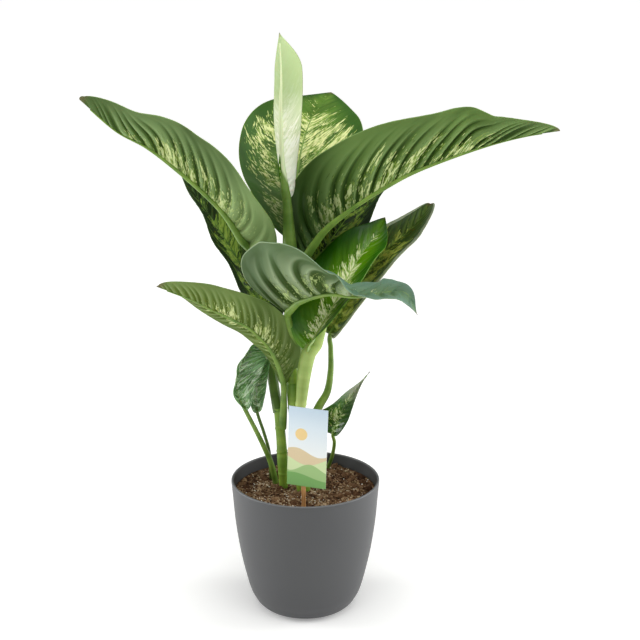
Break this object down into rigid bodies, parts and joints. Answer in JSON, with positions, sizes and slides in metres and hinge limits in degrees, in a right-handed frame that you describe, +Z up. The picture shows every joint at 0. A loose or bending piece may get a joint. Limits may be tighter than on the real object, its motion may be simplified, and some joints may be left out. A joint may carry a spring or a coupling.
{
  "type": "potted dieffenbachia",
  "caption": "Leafy house plant with large variegated blades on green canes, standing in compost in a round tapered pot with a small plant label.",
  "frame": {"origin": "middle of the pot's flat base, where it stands on the floor", "axes": "+Z up along the pot's axis, -Y the front with the plant label, +X to the right seen from the front"},
  "size_m": [0.5313, 0.3503, 0.708],
  "materials": {
    "pot_grey": "satin dark grey moulded plastic",
    "compost": "damp brown peat and coir with pale specks",
    "cane_green": "smooth light green stem",
    "leaf_green": "dark green leaf with cream flecks along the veins",
    "leaf_young": "pale cream-green young leaf",
    "stick_wood": "bare light wood",
    "card_print": "coated printed card"
  },
  "bodies": {
    "root": {"pot": "pot_grey", "soil": "compost", "cane_centre": "cane_green", "cane_left": "cane_green", "leaf_spear": "leaf_young", "leaf_back": "leaf_green", "leaf_right": "leaf_green", "leaf_left": "leaf_green", "leaf_front": "leaf_green", "leaf_glossy": "leaf_green", "leaf_right_mid": "leaf_green", "leaf_right_back": "leaf_green", "leaf_left_back": "leaf_green", "leaf_left_low": "leaf_green", "leaf_small_left": "leaf_green", "leaf_small_right": "leaf_green", "leaf_young_left": "leaf_green", "tag_stick": "stick_wood", "tag_card": "card_print"}
  },
  "joints": []
}
